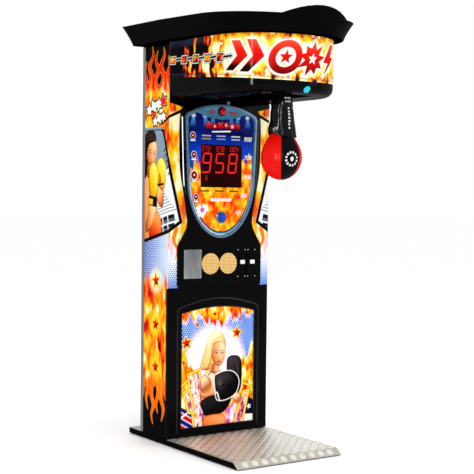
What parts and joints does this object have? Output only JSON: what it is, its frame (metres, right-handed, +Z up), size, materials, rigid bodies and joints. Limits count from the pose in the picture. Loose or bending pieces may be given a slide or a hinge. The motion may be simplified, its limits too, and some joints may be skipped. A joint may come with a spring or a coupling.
{
  "type": "boxing punch machine",
  "caption": "Free-standing coin-operated punch machine: a bag on a swinging arm under a moulded head, a score shield, a coin panel, a picture door and a tread-plate foot.",
  "frame": {"origin": "on the floor, under the middle of the machine's overall box", "axes": "+Z up, +X to the player's right, -Y towards the player"},
  "size_m": [0.87, 1.312, 2.2984],
  "materials": {
    "black_board": "satin black laminate on board",
    "black_moulding": "gloss black vacuum moulding",
    "roof_plastic": "grained black moulding",
    "painted_steel": "black powder coat",
    "tread_plate": "bright rolled diamond pattern",
    "aluminium_trim": "brushed",
    "bright_steel": "brushed",
    "rubber": "matt",
    "printed_panel": "printed flames, stars and halftone under a gloss film",
    "printed_band": "backlit print",
    "silver_rim": "silver-blue metallic",
    "red_lens": "clear red moulding",
    "blue_button": "gloss blue moulding",
    "cyan_lens": "lit cyan lens",
    "white_button": "lit white key",
    "smoked_window": "dark red window",
    "led_red": "lit red segments",
    "gold_grille": "gold perforated metal",
    "circuit_board": "green board",
    "light_strip": "white diffuser",
    "bag_leather": "gloss red and black leather",
    "sleeve_vinyl": "soft black vinyl"
  },
  "bodies": {
    "cabinet": {"base_frame": "painted_steel", "foot_plate": "tread_plate", "rear_deck_plate": "aluminium_trim", "levelling_foot_front_left": "rubber", "levelling_foot_front_right": "rubber", "levelling_foot_rear_left": "rubber", "levelling_foot_rear_right": "rubber", "cabinet_floor": "black_board", "left_side_panel": "black_board", "right_side_panel": "black_board", "left_edge_trim": "aluminium_trim", "right_edge_trim": "aluminium_trim", "back_panel": "black_board", "mains_inlet": "black_moulding", "front_panel": "black_board", "bezel": "black_moulding", "shield_rim": "silver_rim", "shield_panel": "printed_panel", "display_window": "smoked_window", "score_display": "circuit_board", "ready_lamp": "red_lens", "blank_plate": "bright_steel", "speaker_grille_left": "gold_grille", "speaker_grille_right": "gold_grille", "speaker_left": "painted_steel", "speaker_right": "painted_steel", "coin_plate_left": "black_moulding", "coin_plate_right": "black_moulding", "coin_mechs": "painted_steel", "cash_box": "bright_steel", "door_hinge": "bright_steel", "head_frame": "painted_steel", "head_tray": "black_moulding", "marquee_band": "printed_band", "marquee_light": "light_strip", "front_lamp": "cyan_lens", "roof_shell": "roof_plastic", "bearing_left": "painted_steel", "bearing_right": "painted_steel", "rest_stop": "rubber", "punch_stop": "rubber", "solenoid_body": "painted_steel", "power_supply": "aluminium_trim", "control_board": "circuit_board"},
    "punch_arm": {"pivot_shaft": "bright_steel", "punch_arm": "painted_steel", "encoder_disc": "aluminium_trim", "bag": "bag_leather", "bag_sleeve": "sleeve_vinyl"},
    "latch_hook": {"latch_hook": "bright_steel"},
    "solenoid_plunger": {"solenoid_plunger": "bright_steel"},
    "start_button": {"start_button": "blue_button"},
    "reject_button_left": {"reject_button_left": "white_button"},
    "reject_button_right": {"reject_button_right": "white_button"},
    "coin_return_flap_left": {"coin_return_flap_left": "black_moulding"},
    "coin_return_flap_right": {"coin_return_flap_right": "black_moulding"},
    "lower_door": {"lower_door": "black_moulding", "door_picture": "printed_panel"},
    "door_lock": {"door_lock": "bright_steel"},
    "bezel_lock": {"bezel_lock": "bright_steel"}
  },
  "joints": [
    {"name": "arm_swing", "type": "hinge", "parent": "cabinet", "child": "punch_arm", "pos_m": [0, -0.3195, 1.975], "axis": [1, 0, 0], "range_deg": [0, 94]},
    {"name": "hook_turn", "type": "hinge", "parent": "cabinet", "child": "latch_hook", "pos_m": [0.051, -0.4285, 2.035], "axis": [1, 0, 0], "range_deg": [0, 20], "stiffness_Nm_per_rad": 0.5},
    {"name": "solenoid_pull", "type": "slide", "parent": "cabinet", "child": "solenoid_plunger", "axis": [0, -1, 0], "range_m": [0, 0.0125]},
    {"name": "start_press", "type": "slide", "parent": "cabinet", "child": "start_button", "axis": [0, 1, 0], "range_m": [0, 0.004], "stiffness_N_per_m": 300},
    {"name": "reject_press_left", "type": "slide", "parent": "cabinet", "child": "reject_button_left", "axis": [0, 1, 0], "range_m": [0, 0.003], "stiffness_N_per_m": 250},
    {"name": "reject_press_right", "type": "slide", "parent": "cabinet", "child": "reject_button_right", "axis": [0, 1, 0], "range_m": [0, 0.003], "stiffness_N_per_m": 250},
    {"name": "flap_swing_left", "type": "hinge", "parent": "cabinet", "child": "coin_return_flap_left", "pos_m": [0.1485, 0.235, 0.9655], "axis": [1, 0, 0], "range_deg": [0, 40]},
    {"name": "flap_swing_right", "type": "hinge", "parent": "cabinet", "child": "coin_return_flap_right", "pos_m": [0.216, 0.235, 0.9655], "axis": [1, 0, 0], "range_deg": [0, 40]},
    {"name": "door_swing", "type": "hinge", "parent": "cabinet", "child": "lower_door", "pos_m": [0.3367, 0.2618, 0.0395], "axis": [0, 0, 1], "range_deg": [0, 105]},
    {"name": "door_lock_turn", "type": "hinge", "parent": "lower_door", "child": "door_lock", "pos_m": [-0.272, 0.2435, 0.45], "axis": [0, -1, 0], "range_deg": [0, 90]},
    {"name": "bezel_lock_turn", "type": "hinge", "parent": "cabinet", "child": "bezel_lock", "pos_m": [0.044, 0.2435, 1.878], "axis": [0, 1, 0], "range_deg": [0, 90]}
  ],
  "couplings": [
    {"joint": "solenoid_pull", "follows": "hook_turn", "m_per_rad": 0.035}
  ]
}
